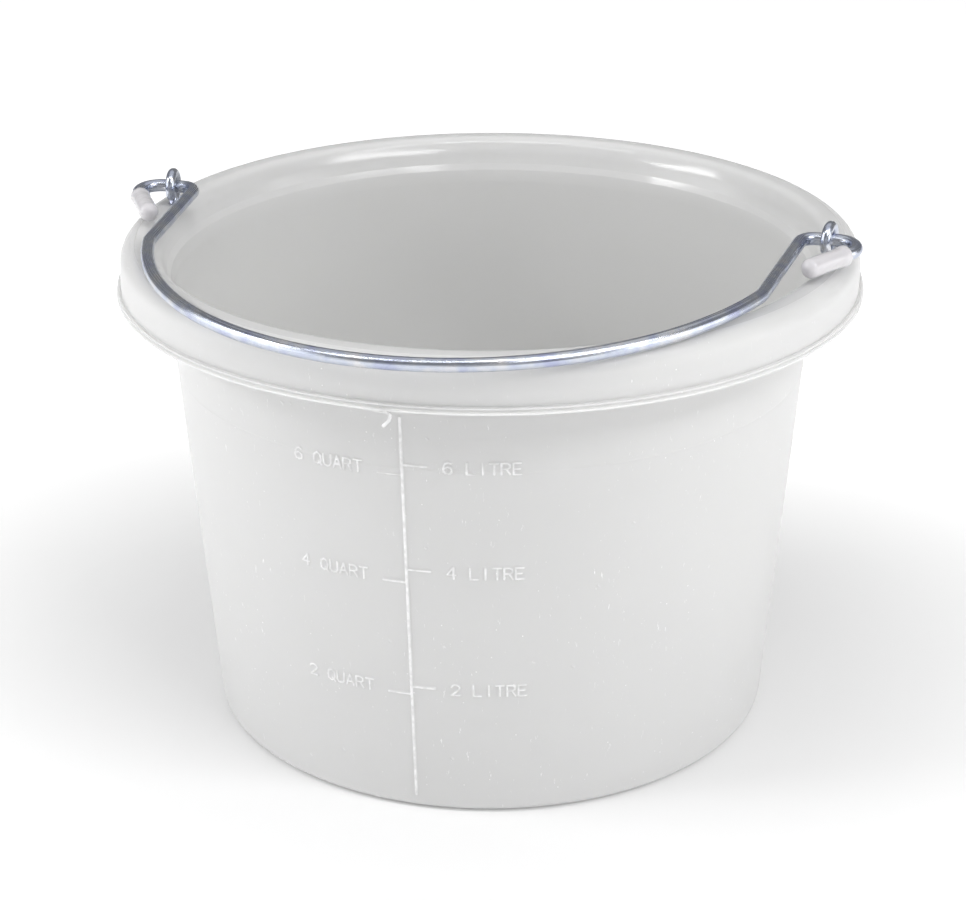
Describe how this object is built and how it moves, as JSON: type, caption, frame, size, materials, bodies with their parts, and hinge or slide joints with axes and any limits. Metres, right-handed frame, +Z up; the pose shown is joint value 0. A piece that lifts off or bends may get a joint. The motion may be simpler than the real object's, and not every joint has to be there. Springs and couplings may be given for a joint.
{
  "type": "graduated pail",
  "caption": "Tapered translucent plastic pail with a turned-down rim, raised volume graduations, and a wire bail that swings in two eye bolts.",
  "frame": {"origin": "centre of the pail's flat base, on the surface it stands on", "axes": "+Z up out of the mouth; X along the bail's hinge line; -Y is the front, where the graduation line is and where the bail lies at rest"},
  "size_m": [0.2908, 0.2969, 0.2086],
  "materials": {
    "natural_polyethylene": "injection-moulded natural polyethylene, milky and slightly translucent, satin with soft gloss on the rim",
    "zinc_plated_steel": "drawn steel wire with bright zinc plating, bluish, with fine draw lines along it",
    "clear_cap_plastic": "soft translucent white vinyl, glossy"
  },
  "bodies": {
    "pail": {"pail_body": "natural_polyethylene", "eye_bolt_left": "zinc_plated_steel", "eye_bolt_right": "zinc_plated_steel", "washer_left": "zinc_plated_steel", "washer_right": "zinc_plated_steel", "nut_left": "zinc_plated_steel", "nut_right": "zinc_plated_steel"},
    "bail": {"bail_wire": "zinc_plated_steel", "end_cap_left": "clear_cap_plastic", "end_cap_right": "clear_cap_plastic"}
  },
  "joints": [
    {"name": "bail_swing", "type": "hinge", "parent": "pail", "child": "bail", "pos_m": [0, 0, 0.20145], "axis": [-1, 0, 0], "range_deg": [0, 184.9]}
  ]
}
